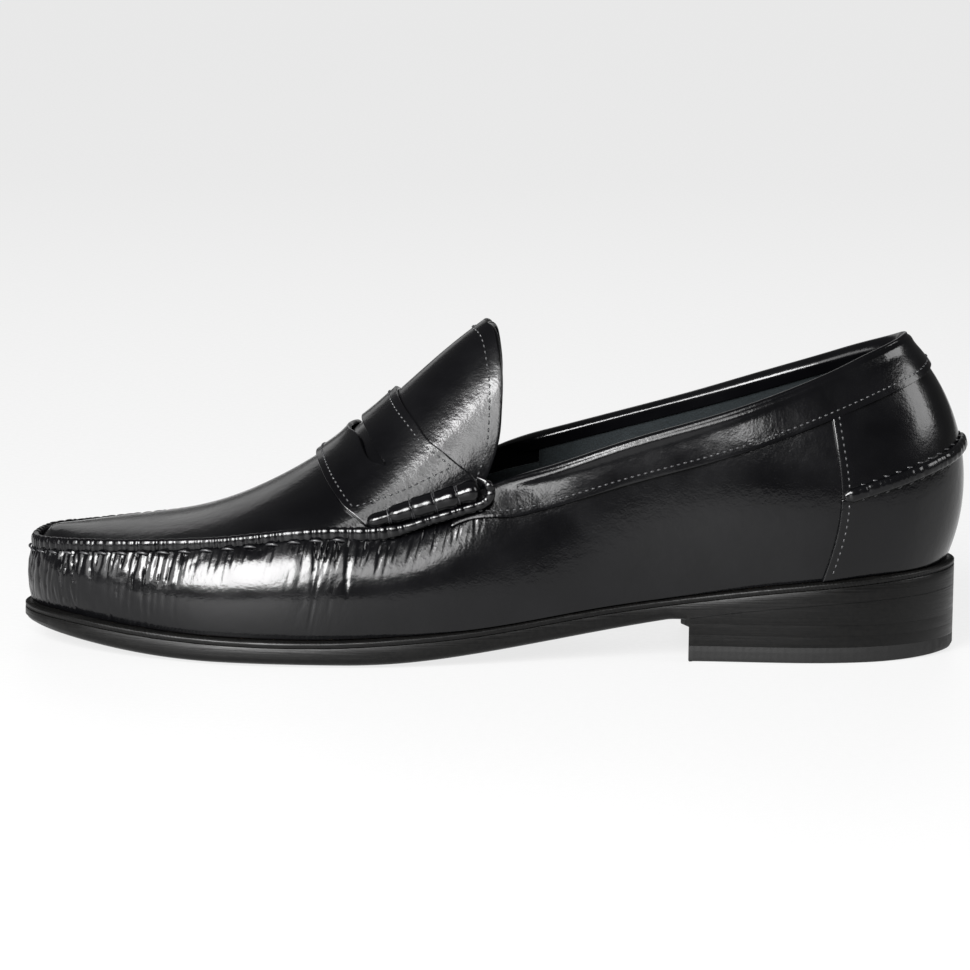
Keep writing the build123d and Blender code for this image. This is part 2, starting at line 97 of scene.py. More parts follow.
TOP_LIFT = 5.0
HEEL_LIFT = 3.6
BREAST_X = 63.0
BREAST_HOLLOW = 5.0
FLOOR = 7000.0  # half the floor's side
FLOOR_DROP = 0.2  # keeps the floor clear of the faces that stand on it
EDGE_ROUND = 0.035  # rounding of the heel's layers
SEAM_LAP = 9.0  # how far the vamp runs on under the heel's pieces
LAP_RISE, LAP_FADE = 1.1, 16.0  # how far they stand off the wall there, and how soon they are flush
BEND_REACH = 25.0  # how far from a rear seam its bend fades out
FLOOR_GLOW, SKY = 0.78, 0.12  # strengths

# ---- the shoe's lines
# Heights of the welt's top and of the outsole's underside: x, z.
SEAT_LINE = [
    (-155, 11.3), (-136, 11.2), (-122, 10.2), (-102, 8.9), (-82, 8.3), (-51, 8.4), (-28, 9.6),
    (-4, 11.7), (32, 17.0), (63, 21.0), (86, 24.0), (112, 26.6), (155, 29.8),
]
TREAD_LINE = [
    (-155, 5.0), (-136, 3.3), (-121, 1.7), (-106, 0.5), (-90, 0), (-67, 0), (-45, 0), (-32, 0.4), (-3, 3.4),
    (27, 8.0), (56, 12.7), (86, 16.9), (112, 19.2), (155, 21.2),
]
SOLE_PLAN = [
    (-151.7, 2), (-146, -14), (-134, -27), (-112, -39.5), (-88, -47.5), (-58, -50.8), (-28, -49.2),
    (27, -37.5), (62, -32.8), (105, -33.6), (130, -26.5), (144, -14), (148.8, 0),
    (144, 14), (130, 26.5), (105, 33), (62, 28.2), (27, 26.8), (-3, 32.5), (-32, 43.5), (-61, 49.8),
    (-86, 50.6), (-108, 46.5), (-134, 30), (-147, 15),
]

# Wall stations: foot (x, y), top (x, y, z) and bulge, from the back of the heel round by the lateral side.
RING = [
    ((146.3, 0), (130.7, 0, 100.4), 11.4),
    ((142.3, -13.5), (127.6, -8, 99.1), 10.3),
    ((130, -25), (118, -15.5, 95.4), 8.0),
    ((107, -31), (105.5, -22, 90.2), 5.8),
    ((88, -31.5), (86, -27.5, 82.8), 4.6),
    ((65, -31.5), (66, -30, 76.3), 3.3),
    ((38, -34.5), (40, -31.3, 68.6), 1.7),
    ((12, -40.5), (15, -32.5, 60.2), 2.4),
    ((-12, -45.2), (-4, -35, 54.4), 3.9),
    ((-35, -47.6), (-24, -38.8, 44.2), 4.8),
    ((-60, -48.0), (-54, -42.0, 41.4), 4.8),
    ((-92, -43.7), (-86, -39.2, 37.6), 4.2),
    ((-108, -38.2), (-106, -35.4, 35.9), 3.6),
    ((-123, -30.8), (-122, -29.6, 34.6), 3.2),
    ((-136.5, -21.0), (-136, -20.6, 33.1), 2.5),
    ((-145.8, -10.0), (-145.4, -10.2, 31.8), 1.9),
    ((-149.6, 1.0), (-148.8, 0.6, 31.3), 1.6),
    ((-145.8, 12.5), (-145.4, 11.4, 32.3), 1.9),
    ((-136.5, 24.2), (-136, 21.8, 32.2), 2.5),
    ((-123, 34.5), (-122, 30.8, 32.4), 3.2),
    ((-108, 42.8), (-106, 36.6, 33.4), 3.6),
    ((-92, 47.0), (-86, 40.2, 36.0), 4.2),
    ((-60, 46.9), (-54, 42.0, 41.4), 4.8),
    ((-35, 41.6), (-24, 38.8, 44.4), 4.8),
    ((-12, 34.6), (-4, 35.0, 55.2), 3.9),
    ((12, 28.6), (15, 32.5, 62.0), 3.6),
    ((38, 25.6), (40, 31.3, 69.0), 3.2),
    ((65, 26.8), (66, 30, 76.5), 3.4),
    ((88, 30.0), (86, 27.5, 83.0), 4.6),
    ((107, 31), (105.5, 22, 89.8), 5.8),
    ((130, 25), (118, 15.5, 94.6), 8.0),
    ((142.3, 13.5), (127.6, 8, 98.4), 10.3),
]
SEAM = 3  # station of the rear seams, counted from the heel each way
COLLAR_END = 8
TOE = 16

# Arch stations: x, half width, edge height, middle height.
ARCH = [
    (-147.5, 2.0, 31.8, 32.4), (-143.5, 9.0, 32.6, 35.2), (-138, 16.0, 33.2, 36.2), (-125, 25.3, 34.4, 37.3),
    (-109, 31.9, 35.8, 38.9), (-92, 36.1, 37.4, 42.4), (-76, 38.3, 39.2, 48.8), (-61, 39.6, 40.8, 57.2),
    (-46, 39.0, 42.0, 68.0), (-31, 36.4, 44.4, 81.4), (-14, 32.2, 50.0, 96.9), (2, 28.6, 55.5, 109.2),
]
TONGUE_END = [
    (0, -4.2), (0.2, -1.5), (0.36, 0.4), (0.48, 1.4), (0.61, 1.4), (0.7, 1.0), (0.81, -1.0), (1, -6.0),
]  # turn, x
STRAP_FRONT = [
    (0, -57.0), (0.28, -55.3), (0.48, -52.5), (0.62, -49.7), (0.74, -46.7), (0.82, -44.0), (1, -39.5),
]
STRAP_REAR = [
    (0, -31.4), (0.33, -27.9), (0.48, -23.8), (0.58, -20.3), (0.66, -16.2), (0.74, -12.1), (0.84, -7.2),
    (1, -5.0),
]
STRAP_END = 0.745  # turn at which the strap's stitching ends
SLOT_TIP, SLOT_TIP_X = 0.55, -34.7
SLOT_FRONT = [
    (0, -45.7), (0.1, -45.2), (0.21, -43.3), (0.37, -41.4), (0.44, -40.3), (0.5, -38.3),
    (SLOT_TIP, SLOT_TIP_X),
]
SLOT_REAR = [(0, -42.2), (0.15, -41.6), (0.36, -38.8), (0.47, -36.7), (SLOT_TIP, SLOT_TIP_X)]
ROLL_ENDS = [(-40.2, 41.6, 44.8), (-4.8, 40.4, 56.0)]  # x, y from the middle, z


# ---- curves and surfaces
def cubic(knots, values, closed=False):
    """A curve with continuous curvature through the values at the knots."""
    x = np.asarray(knots, float)
    y = np.asarray(values, float).reshape(len(x), -1)
    h = np.diff(x)
    n = len(h)
    size = n if closed else n + 1
    matrix = np.zeros((size, size))
    right = np.zeros((size, y.shape[1]))
    for i in range(0 if closed else 1, n):
        before, after = (i - 1) % size, (i + 1) % size
        matrix[i, before] += h[i - 1]
        matrix[i, i] += 2 * (h[i - 1] + h[i])
        matrix[i, after] += h[i]
        previous = y[n - 1] if closed and i == 0 else y[i - 1]
        right[i] = 6 * ((y[i + 1] - y[i]) / h[i] - (y[i] - previous) / h[i - 1])
    if not closed:
        matrix[0, 0] = matrix[n, n] = 1
    moments = np.linalg.solve(matrix, right)
    if closed:
        moments = np.vstack([moments, moments[:1]])

    def evaluate(t):
        t = np.asarray(t, float)
        if closed:
            t = x[0] + np.mod(t - x[0], x[-1] - x[0])
        i = np.clip(np.searchsorted(x, t, side="right") - 1, 0, n - 1)
        a = ((x[i + 1] - t) / h[i])[..., None]
        b = ((t - x[i]) / h[i])[..., None]
        bend = ((a**3 - a) * moments[i] + (b**3 - b) * moments[i + 1]) * (h[i] ** 2)[..., None] / 6
        result = a * y[i] + b * y[i + 1] + bend
        return result[..., 0] if y.shape[1] == 1 else result

    return evaluate


def line_of(points):
    """A height or distance as a smooth curve of the first number."""
    return cubic([p[0] for p in points], [p[1] for p in points])


seat = line_of(SEAT_LINE)
tread_curve = line_of(TREAD_LINE)


def tread(x):
    """The height of the outsole's underside, flat under the ball of the foot."""
    return np.maximum(tread_curve(x), 0)


ring_values = [(*foot, *top, bulge) for foot, top, bulge in RING]
ring_values.append(ring_values[0])
ring_steps = [
    0.5 * math.dist(a[:2], b[:2]) + 0.5 * math.dist(a[2:5], b[2:5])
    for a, b in zip(ring_values, ring_values[1:])
]
STATIONS = np.concatenate([[0], np.cumsum(ring_steps)])  # how far round the wall each station lies
ring_curve = cubic(STATIONS, ring_values, closed=True)
ROUND = STATIONS[-1]


def at(number):
    """How far round the wall a station lies. Negative numbers count the other way from the heel."""
    places = np.concatenate([STATIONS[:-1] - ROUND, STATIONS])
    return np.interp(number, np.arange(-len(RING), len(RING) + 1), places)


def unit(v):
    """The vectors at length 1."""
    return v / np.linalg.norm(v, axis=-1, keepdims=True)


def smooth(value):
    """An even step from 0 to 1."""
    value = np.clip(value, 0, 1)
    return value * value * (3 - 2 * value)


def circle(count):
    """Angles at an even pitch, once round."""
    return np.linspace(0, 2 * math.pi, count, endpoint=False)


def run_of(path):
    """The length of a path up to each of its points."""
    return np.concatenate([[0], np.cumsum(np.linalg.norm(np.diff(path, axis=0), axis=1))])


def wall_frame(s):
    """The wall's foot, its directions up and outwards, its height and its bulge, s round from the heel."""
    here, ahead, behind = ring_curve(s), ring_curve(s + 0.5), ring_curve(s - 0.5)
    foot = np.stack([here[..., 0], here[..., 1], seat(here[..., 0]) + FEATHER_GAP], -1)
    up = here[..., 2:5] - foot
    along = (ahead - behind)[..., :2] + (ahead - behind)[..., 2:4]
    along = np.concatenate([along, np.zeros_like(along[..., :1])], -1)
    length = np.linalg.norm(up, axis=-1)
    return foot, unit(up), unit(np.cross(up, along)), length, here[..., 5]


def wall(s, h, depth=0.0):
    """A point of the wall: s round from the heel, h from 0 at the foot to 1 at the top, depth outwards."""
    s, h, depth = np.broadcast_arrays(*[np.asarray(value, float) for value in (s, h, depth)])
    foot, up, out, length, bulge = wall_frame(s)
    radius = (length**2 / 4 + bulge**2) / (2 * bulge)
    turn = np.arcsin(length / 2 / radius) * (2 * h - 1)
    across = length / 2 + (radius + depth) * np.sin(turn)
    outwards = bulge - radius + (radius + depth) * np.cos(turn)
    return foot + up * across[..., None] + out * outwards[..., None]


ARCH_DEPTH = -1.9  # depth of the arch's edges in the wall
ARCH_TOE_X, ARCH_SEAM_X = -143.0, -42.0  # between them the arch's edges follow the wall
ARCH_BLEND = 14.0  # length over which they leave it
ARCH_POWER = 1.56  # shape of the arch's sections: 1 is an ellipse, 2 a parabola
arch_curve = cubic([row[0] for row in ARCH], [row[1:] for row in ARCH])
edge_lateral = wall(np.linspace(at(COLLAR_END), at(TOE), 400), 1.0, ARCH_DEPTH)
edge_medial = wall(np.linspace(at(len(RING) - COLLAR_END), at(TOE), 400), 1.0, ARCH_DEPTH)
ARCH_START = edge_lateral[-1, 0] + 0.1


def arch_plain(x, turn):
    """The arch's surface. turn is from -1 at the lateral edge to 1 at the medial edge."""
    x, turn = np.broadcast_arrays(np.asarray(x, float), np.asarray(turn, float))
    half, edge, crown = np.moveaxis(arch_curve(x), -1, 0)
    sides = [
        [np.interp(x, points[::-1, 0], points[::-1, axis]) for axis in (1, 2)]
        for points in (edge_lateral, edge_medial)
    ]
    seamed = smooth((ARCH_SEAM_X - x) / ARCH_BLEND)
    half = half * (1 - seamed) + seamed * (sides[1][0] - sides[0][0]) / 2
    middle = seamed * (sides[1][0] + sides[0][0]) / 2
    edge = edge * (1 - seamed) + seamed * ((sides[0][1] + sides[1][1]) / 2 + 0.2)
    closing = np.clip((x - ARCH_START) / (ARCH_TOE_X - ARCH_START), 0, 1) ** 0.5
    rise = np.where(x < ARCH_TOE_X, (crown - edge) * closing, crown - edge)
    angle = turn * math.pi / 2
    height = edge + rise * np.maximum(np.cos(angle), 0) ** ARCH_POWER
    return np.stack([x, middle + half * np.sin(angle), height], -1)


def arch(x, turn, lift=0.0):
    """A point of the arch, lifted off its surface."""
    x, turn = np.broadcast_arrays(np.asarray(x, float), np.asarray(turn, float))
    ahead = arch_plain(x + 0.3, turn) - arch_plain(x - 0.3, turn)
    inside = np.clip(turn, -0.96, 0.96)
    across = arch_plain(x, inside + 0.02) - arch_plain(x, inside - 0.02)
    return arch_plain(x, turn) + unit(np.cross(ahead, across)) * np.asarray(lift)[..., None]


# ---- meshes
def place_in_scene(name, data):
    """An object of the mesh, light or camera, in the scene."""
    thing = bpy.data.objects.new(name, data)
    bpy.context.scene.collection.objects.link(thing)
    return thing


def new_object(name, points, faces):
    """A mesh object from points in drawn millimetres, smooth, with its faces turned outwards."""
    mesh = bpy.data.meshes.new(name)
    corners = (np.asarray(points).reshape(-1, 3) * UNIT).tolist()
    mesh.from_pydata(corners, [], [list(map(int, face)) for face in faces])
    work = bmesh.new()
    work.from_mesh(mesh)
    bmesh.ops.remove_doubles(work, verts=work.verts, dist=0.00001)
    bmesh.ops.recalc_face_normals(work, faces=work.faces)
    for face in work.faces:
        face.smooth = True
    work.to_mesh(mesh)
    work.free()
    return place_in_scene(name, mesh)


def quads(rows, columns, start=0, close_rows=False, close_columns=False):
    """The faces of a grid of points."""
    r = np.arange(rows if close_rows else rows - 1)
    c = np.arange(columns if close_columns else columns - 1)
    r, c = np.meshgrid(r, c, indexing="ij")
    r2, c2 = (r + 1) % rows, (c + 1) % columns
    faces = np.stack([r * columns + c, r2 * columns + c, r2 * columns + c2, r * columns + c2], -1)
    return faces.reshape(-1, 4) + start


def shell(name, outer, inner):
    """A closed sheet between two grids of points."""
    rows, columns = outer.shape[:2]
    count = rows * columns
    edge = np.concatenate([
        np.arange(columns), np.arange(1, rows) * columns + columns - 1,
        (rows - 1) * columns + np.arange(columns - 2, -1, -1), np.arange(rows - 2, 0, -1) * columns,
    ])
    after = np.roll(edge, -1)
    rim = np.stack([edge, after, after + count, edge + count], -1)
    faces = np.concatenate([quads(rows, columns), quads(rows, columns, count), rim])
    return new_object(name, np.concatenate([outer.reshape(-1, 3), inner.reshape(-1, 3)]), faces)


def sweep(name, sections, closed=False):
    """A closed solid from a row of closed sections."""
    rows, columns = sections.shape[:2]
    faces = [list(f) for f in quads(rows, columns, close_rows=closed, close_columns=True)]
    if not closed:
        faces.append(list(range(columns)))
        faces.append([(rows - 1) * columns + k for k in range(columns)])
    return new_object(name, sections, faces)


def stacked(name, sections):
    """A solid from a closed outline whose points pair up across the shoe, from its top to its foot."""
    rows, columns = sections.shape[:2]
    faces = [list(f) for f in quads(rows, columns, close_rows=True)]
    for k in range(rows // 2):
        a, b, c, d = k, k + 1, (rows - k - 1) % rows, (rows - k) % rows
        for column in (0, columns - 1):
            face = [a * columns + column, b * columns + column, c * columns + column, d * columns + column]
            faces.append(list(dict.fromkeys(face)))
    return new_object(name, sections, [f for f in faces if len(f) > 2])


def joined(name, grids, **closing):
    """One mesh of several grids of points, all of one size."""
    rows, columns = grids[0].shape[:2]
    faces = [quads(rows, columns, k * rows * columns, **closing) for k in range(len(grids))]
    return new_object(name, np.stack(grids), np.concatenate(faces))


def crisp(thing, angle=35):
    """Keeps the piece's corners sharp in shading."""
    thing.data.set_sharp_from_angle(angle=math.radians(angle))
    return thing


def soften(thing, width, angle=50):
    """Rounds the piece's sharp edges."""
    bevel = thing.modifiers.new("rounded_edges", "BEVEL")
    bevel.width = width * UNIT
    bevel.segments = 3
    bevel.limit_method = "ANGLE"
    bevel.angle_limit = math.radians(angle)
    return thing


def tube(path, out, tall, wide, sides=16, power=1.0):
    """Sections of a tube: an oval, tall across `out` and wide along it, round each point of a path."""
    along = unit(np.gradient(path, axis=0))
    out = unit(out - (out * along).sum(-1, keepdims=True) * along)
    up = np.cross(out, along)
    angle = circle(sides)
    c, s = np.cos(angle), np.sin(angle)
    c, s = np.sign(c) * np.abs(c) ** power, np.sign(s) * np.abs(s) ** power
    wide, tall = [np.broadcast_to(half, len(path))[:, None] for half in (wide, tall)]
    return path[:, None] + out[:, None] * (wide * c)[..., None] + up[:, None] * (tall * s)[..., None]


def evenly(path, pitch):
    """Places at an even pitch along a path, as positions in it from 0 to its last point."""
    run = run_of(path)
    count = max(int(run[-1] / pitch), 1)
    return np.interp((np.arange(count) + 0.5) * run[-1] / count, run, np.arange(len(path)))


def stitches(name, path, out, pitch=STITCH_PITCH, long=1.5, radius=THREAD, lean=0.0, sink=0.14):
    """A row of stitches: short rounded threads that dip into the leather at both ends."""
    places = evenly(path, pitch)
    index = np.arange(len(path))
    along = unit(np.gradient(path, axis=0))
    points, faces = [], []
    rings, sides = 7, 8
    angle = circle(sides)
    for place in places:
        centre, direction, normal = [
            np.array([np.interp(place, index, values[:, axis]) for axis in range(3)])
            for values in (path, along, out)
        ]
        normal = unit(normal - direction * (normal @ direction))
        side = np.cross(direction, normal)
        c, s = math.cos(lean), math.sin(lean)
        direction, side = direction * c + side * s, side * c - direction * s
        start = len(points) * rings * sides
        loops = []
        for t in np.linspace(-1, 1, rings):
            thick = radius * math.sqrt(max(1 - abs(t) ** 3, 0.03))
            middle = centre + direction * t * long / 2 + normal * (radius * (0.9 - 1.5 * t * t) - sink)
            loops.append(middle + thick * (np.cos(angle)[:, None] * normal + np.sin(angle)[:, None] * side))
        points.append(np.array(loops).reshape(-1, 3))
        faces += [list(f) for f in quads(rings, sides, start, close_columns=True)]
        faces.append([start + k for k in range(sides)])
        faces.append([start + (rings - 1) * sides + k for k in range(sides)])
    return new_object(name, np.concatenate(points), faces)


def path_normals(function, *arguments):
    """A path on a surface, and the direction out of the surface along it."""
    return function(*arguments, 0.0), unit(function(*arguments, 1.0) - function(*arguments, 0.0))


def rough(seed, count=14, low=0.05, high=0.6):
    """Smooth noise of two coordinates, as a sum of waves with fixed random directions."""
    random = np.random.default_rng(seed)
    waves = random.uniform(low, high, count)[:, None] * unit(random.normal(size=(count, 2)))
    shift = random.uniform(0, 2 * math.pi, count)

    def noise(a, b):
        return sum(np.sin(w[0] * a + w[1] * b + p) for w, p in zip(waves, shift)) / math.sqrt(count)

    return noise


# ---- materials
def material(name, color, roughness, **sockets):
    """A Principled material."""
    made = bpy.data.materials.new(name)
    made.use_nodes = True
    shader = made.node_tree.nodes["Principled BSDF"]
    shader.inputs["Base Color"].default_value = (*color, 1)
    shader.inputs["Roughness"].default_value = roughness
    for socket, value in sockets.items():
        shader.inputs[socket.replace("_", " ")].default_value = value
    return made


def texture(made, kind, scale, stretch=None, **settings):
    """A procedural texture's value, in the object's own coordinates. scale is in features per millimetre."""
    nodes, links = made.node_tree.nodes, made.node_tree.links
    place = nodes.get("place") or nodes.new("ShaderNodeTexCoord")
    place.name = "place"
    node = nodes.new(f"ShaderNodeTex{kind}")
    for key, value in settings.items():
        if key in node.inputs:
            node.inputs[key].default_value = value
        else:
            setattr(node, key, value)
    node.inputs["Scale"].default_value = scale / UNIT
    source = place.outputs["Object"]
    if stretch:
        mapping = nodes.new("ShaderNodeMapping")
        mapping.inputs["Scale"].default_value = stretch
        links.new(source, mapping.inputs["Vector"])
        source = mapping.outputs["Vector"]
    links.new(source, node.inputs["Vector"])
    return node.outputs["Distance" if kind == "Voronoi" else "Fac"]


def ramp(made, source, low, high, first, second):
    """Turns a texture's value into another range."""
    node = made.node_tree.nodes.new("ShaderNodeMapRange")
    for key, value in zip(("From Min", "From Max", "To Min", "To Max"), (low, high, first, second)):
        node.inputs[key].default_value = value
    made.node_tree.links.new(source, node.inputs["Value"])
    return node.outputs["Result"]


def set_input(made, socket, source):
    """Drives one of the shader's values."""
    made.node_tree.links.new(source, made.node_tree.nodes["Principled BSDF"].inputs[socket])


def emboss(made, *layers):
    """Gives a surface its relief: each layer is a texture and its height in millimetres."""
    nodes, links = made.node_tree.nodes, made.node_tree.links
    below = None
    for source, height in layers:
        node = nodes.new("ShaderNodeBump")
        node.inputs["Strength"].default_value = 1.0
        node.inputs["Distance"].default_value = height * UNIT
        links.new(source, node.inputs["Height"])
        if below:
            links.new(below, node.inputs["Normal"])
        below = node.outputs["Normal"]
    set_input(made, "Normal", below)


def roughen(made, source, least, most):
    """Varies the roughness by a texture."""
    set_input(made, "Roughness", ramp(made, source, 0.3, 0.7, least, most))


def tint(made, source, first, second, between=(0.35, 0.65)):
    """Colours a surface between two colours by a texture."""
    node = made.node_tree.nodes.new("ShaderNodeMix")
    node.data_type = "RGBA"
    node.inputs[6].default_value = (*first, 1)
    node.inputs[7].default_value = (*second, 1)
    made.node_tree.links.new(ramp(made, source, *between, 0, 1), node.inputs[0])
    set_input(made, "Base Color", node.outputs[2])


def polished_leather():
    made = material("polished_leather", (0.001, 0.001, 0.0012), 0.17, Specular_IOR_Level=0.28)
    clouds = texture(made, "Noise", 0.05, Detail=4.0)
    pores = texture(made, "Voronoi", 1.6, feature="SMOOTH_F1")
    waves = texture(made, "Noise", 0.28, Detail=3.0)
    scuff = texture(made, "Noise", 1.1, Detail=6.0)
    roughen(made, clouds, 0.13, 0.23)
    emboss(made, (pores, 0.016), (waves, 0.09), (scuff, 0.018))
    tint(made, clouds, (0.0007, 0.0007, 0.0009), (0.0014, 0.0014, 0.0017), (0.35, 0.7))
    return made


def edge_leather():
    made = material("dressed_edge", (0.0014, 0.0014, 0.0014), 0.4, Specular_IOR_Level=0.17)
    grain = texture(made, "Noise", 0.8, Detail=6.0)
    scratches = texture(made, "Noise", 0.9, (0.08, 0.08, 4.0), Detail=5.0)
    roughen(made, scratches, 0.27, 0.48)
    emboss(made, (scratches, 0.05), (grain, 0.02))
    tint(made, grain, (0.0008, 0.0008, 0.0008), (0.002, 0.0019, 0.0018))
    return made


def suede():
    made = material("suede_lining", (0.005, 0.008, 0.009), 0.9, Specular_IOR_Level=0.2,
                    Sheen_Weight=0.02, Sheen_Roughness=0.5)
    nap = texture(made, "Noise", 2.2, Detail=5.0)
    emboss(made, (nap, 0.15))
    roughen(made, texture(made, "Noise", 0.12, Detail=4.0), 0.8, 0.95)
    tint(made, nap, (0.0015, 0.0026, 0.003), (0.007, 0.01, 0.0115), (0.3, 0.7))
    return made


def sock_leather():
    made = material("sock_leather", (0.012, 0.013, 0.014), 0.5)
    cloud = texture(made, "Noise", 0.06, Detail=4.0)
    emboss(made, (texture(made, "Voronoi", 1.1, feature="SMOOTH_F1"), 0.05))
    roughen(made, cloud, 0.42, 0.6)
    tint(made, cloud, (0.010, 0.011, 0.012), (0.02, 0.022, 0.024))
    return made


def thread_fibre():
    made = material("waxed_thread", (0.011, 0.011, 0.012), 0.38)
    twist = texture(made, "Noise", 3.0, Detail=2.0)
    emboss(made, (twist, 0.06))
    roughen(made, twist, 0.28, 0.5)
    return made


def tread_rubber():
    made = material("tread_rubber", (0.003, 0.003, 0.003), 0.55, Specular_IOR_Level=0.3)
    dots = texture(made, "Voronoi", 0.45, feature="F1", Randomness=0.0)
    dirt = texture(made, "Noise", 0.3, Detail=6.0)
    emboss(made, (dots, 0.1), (dirt, 0.05))
    roughen(made, dirt, 0.5, 0.75)
    return made


def grained(name, first, second, scale, roughness, metallic=0.0):
    """A plain material with mottled colour and fine relief, for the inner pieces."""
    made = material(name, first, roughness, Metallic=metallic)
    grain = texture(made, "Noise", scale, Detail=6.0)
    emboss(made, (grain, 0.05))
    roughen(made, grain, roughness - 0.08, roughness + 0.08)
    tint(made, grain, first, second)
    return made


upper_leather = polished_leather()
edge = edge_leather()
lining = suede()
sock = sock_leather()
thread = thread_fibre()
rubber = tread_rubber()


def piece(thing, look, slot, *nodes):
    """Gives a piece its material, sets it riding, and hides the nodes that it stands for; slot is not used.
    """
    thing.data.materials.append(look)
    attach(thing, "root")
    if nodes:
        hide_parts(*nodes)
    return thing


def leather(thing, node, rounding=0.35):
    """A piece of the upper's leather, with its cut edges rounded."""
    return piece(soften(thing, rounding) if rounding else thing, upper_leather, "upper_leather", node)


def sew(name, line, out, **options):
    """A row of stitches in its thread."""
    return piece(stitches(name, line, out, **options), thread, "thread")


# ---- wall of the upper
LATERAL_SEAM, MEDIAL_SEAM = float(at(SEAM)), float(at(len(RING) - SEAM))


def length_at(s):
    """How long the wall is from its foot to its top."""
    return wall_frame(s)[3]


def number(s):
    """How many stations lie between this place and the back of the heel, the shorter way."""
    index = np.interp(np.mod(s, ROUND), STATIONS, np.arange(len(RING) + 1))
    return np.minimum(index, len(RING) - index)


def vamp_top(s):
    """The vamp's top edge, which stops under the piping."""
    return 1 - smooth(number(s) - COLLAR_END) * (PIPING[0] - 0.3) / length_at(s)


# The pleats below the moccasin seam lie in four zones: x where each ends, and their range of sizes.
ZONE_ENDS = (-96, -59, -44)
SHORTEST, LONGEST = (11, 4, 10, 5), (24, 9, 22, 10)
SHALLOWEST, DEEPEST = (0.4, 0.2, 0.5, 0.5), (1.0, 0.65, 1.3, 1.1)

random = np.random.default_rng(4)
gather_from, gather_to = float(at(COLLAR_END - 0.4)), float(at(len(RING) - COLLAR_END + 0.4))
marks = gather_from + np.cumsum(random.uniform(1.1, 3.0, 640))
marks = marks[marks < gather_to]
mark_x = wall(marks, 1.0)[:, 0]
zone = np.searchsorted(ZONE_ENDS, mark_x, side="right")
gather_long = random.uniform(np.choose(zone, SHORTEST), np.choose(zone, LONGEST))
gather_deep = random.uniform(np.choose(zone, SHALLOWEST), np.choose(zone, DEEPEST))
gather_lean = random.uniform(-0.16, 0.2, len(marks))
crinkle = rough(11, 18, 0.4, 2.2)


def gathers(s, drop):
    """The relief of the pleats below the moccasin seam. drop is how far below the seam a place lies."""
    order = np.arange(len(marks))
    leaned = s + np.interp(s, marks, gather_lean) * drop
    phase = np.interp(leaned, marks, order)
    deep = np.interp(phase, order, gather_deep)
    long = np.interp(phase, order, gather_long)
    ends = smooth((s - gather_from) / 12) * smooth((gather_to - s) / 12)
    fade = np.exp(-((np.maximum(drop, 0) / long) ** 2)) * ends
    folds = np.abs(np.sin(np.pi * phase)) ** 0.55 - 1
    return fade * (deep * folds + 0.07 * crinkle(s, drop))


def heel_lift(s):
    """The heel's pieces lie over the vamp at the rear seams and run down flush behind them."""
    behind = np.where(s > ROUND / 2, s - MEDIAL_SEAM, LATERAL_SEAM - s)
    return LAP_RISE * (1 - smooth((behind + 1) / LAP_FADE))


seam_curve = line_of([(0, -1.5), (0.2, 1.6), (0.43, 3.1), (0.6, 2.2), (0.78, 1.0), (1, 0)])


def seam_bend(s, h):
    """How far the heel's pieces are drawn along the wall, so that the rear seams curve at mid height."""
    near_lateral = smooth((s - LATERAL_SEAM + BEND_REACH) / BEND_REACH)
    near_medial = smooth((MEDIAL_SEAM - ROUND + BEND_REACH - s) / BEND_REACH)
    return seam_curve(h) * (near_medial - near_lateral)


def kicker_top(s):
    """The kicker's top edge."""
    return 0.5 - 0.034 * number(s)


def collar_foot(s):
    """The collar band's lower edge, which turns up at the band's front end."""
    front_end = smooth((number(s) - 7.3) / 1.1)
    return 0.86 - 0.13 * np.clip(number(s) / COLLAR_END, 0, 1) ** 0.6 + 0.1 * front_end


def span(start, finish, pitch):
    """Places from start to finish, about a pitch apart."""
    return np.linspace(start, finish, max(int(abs(finish - start) / pitch), 2) + 1)


def wall_sheet(name, start, finish, low, high, outer, inner, pitch=1.5, rows=24, relief=None, bend=None):
    """A layer of the wall as a closed sheet. low, high and the two depths are numbers or functions of s."""
    s = span(start, finish, pitch)[:, None]
    value = lambda item: item(s) if callable(item) else item
    h = value(low) + (value(high) - value(low)) * np.linspace(0, 1, rows)[None, :]
    out = value(outer) + (relief(s, (value(high) - h) * length_at(s)) if relief else 0)
    bent = s + bend(s, h) if bend else s
    return shell(name, wall(bent, h, out), wall(bent, h, value(inner)))


lap = (LATERAL_SEAM - SEAM_LAP, MEDIAL_SEAM + SEAM_LAP)
vamp = wall_sheet("vamp", *lap, 0, vamp_top, 0, -LEATHER, pitch=0.55, rows=64, relief=gathers)
leather(vamp, "vamp")

around = (MEDIAL_SEAM - ROUND - 1.5, LATERAL_SEAM + 1.5)
over = lambda s: heel_lift(np.mod(s, ROUND))  # depths of the heel's pieces, outside and inside
beneath = lambda s: over(s) - LEATHER
for name, low, high in (("kicker", 0, kicker_top), ("back_panel", kicker_top, UNDER_COLLAR)):
    made = wall_sheet(name, *around, low, high, over, beneath, pitch=0.8, rows=30, bend=seam_bend)
    leather(made, name)

for name, start, finish, high in (
    ("heel_lining", MEDIAL_SEAM - ROUND, LATERAL_SEAM, UNDER_COLLAR),
    ("quarter_lining_lateral", LATERAL_SEAM, at(COLLAR_END - 1), UNDER_COLLAR),
    ("quarter_lining_medial", at(len(RING) - COLLAR_END + 1), MEDIAL_SEAM, UNDER_COLLAR),
    ("vamp_lining", at(COLLAR_END - 1), at(len(RING) - COLLAR_END + 1), 0.82),
):
    made = wall_sheet(name, float(start), float(finish), 0.01, high, -LINED, -LINED - LINING, pitch=2.0)
    piece(made, lining, "lining", name)


